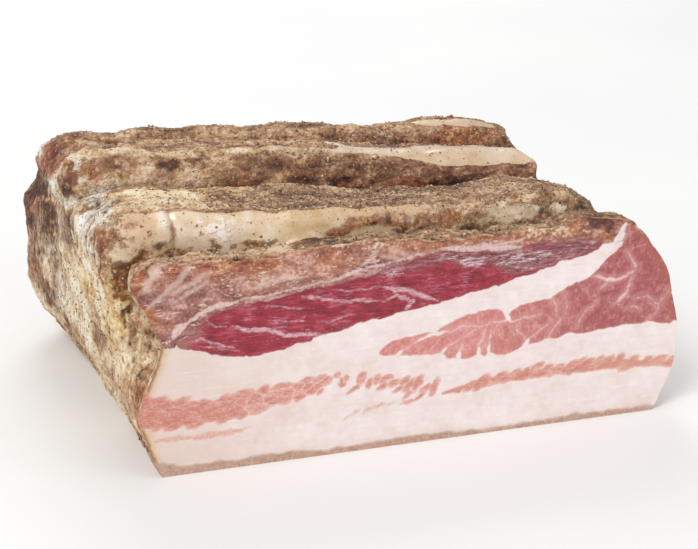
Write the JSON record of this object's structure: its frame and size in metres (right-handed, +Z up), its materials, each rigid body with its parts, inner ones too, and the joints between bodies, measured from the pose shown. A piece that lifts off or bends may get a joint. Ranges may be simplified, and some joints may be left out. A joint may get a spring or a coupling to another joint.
{
  "type": "brined pork belly slab",
  "caption": "Slab of salt-cured pork belly: rind below, deep crosswise scores and a spiced crust on the meat side, one fresh cut face showing lean and fat in bands.",
  "frame": {"origin": "middle of the slab's outline seen from above, on the flat underside of the rind", "axes": "+X to the right along the fresh cut, the slab's longest side; +Y from the cut towards the back, across the scores; +Z up from the rind to the scored meat side"},
  "size_m": [0.1702, 0.1222, 0.0769],
  "materials": {
    "cured_pork": "salt-cured pork, dull where dried and spiced, moist where cut",
    "spiced_crust": "dried fat and meat under ground spice, rough and dull",
    "cut_face": "fresh cut lean and fat, moist satin",
    "rind": "tan pork skin, tough and waxy",
    "ground_pepper": "cracked pepper grains, dull"
  },
  "bodies": {
    "root": {"brined_pork": "cured_pork"}
  },
  "joints": []
}
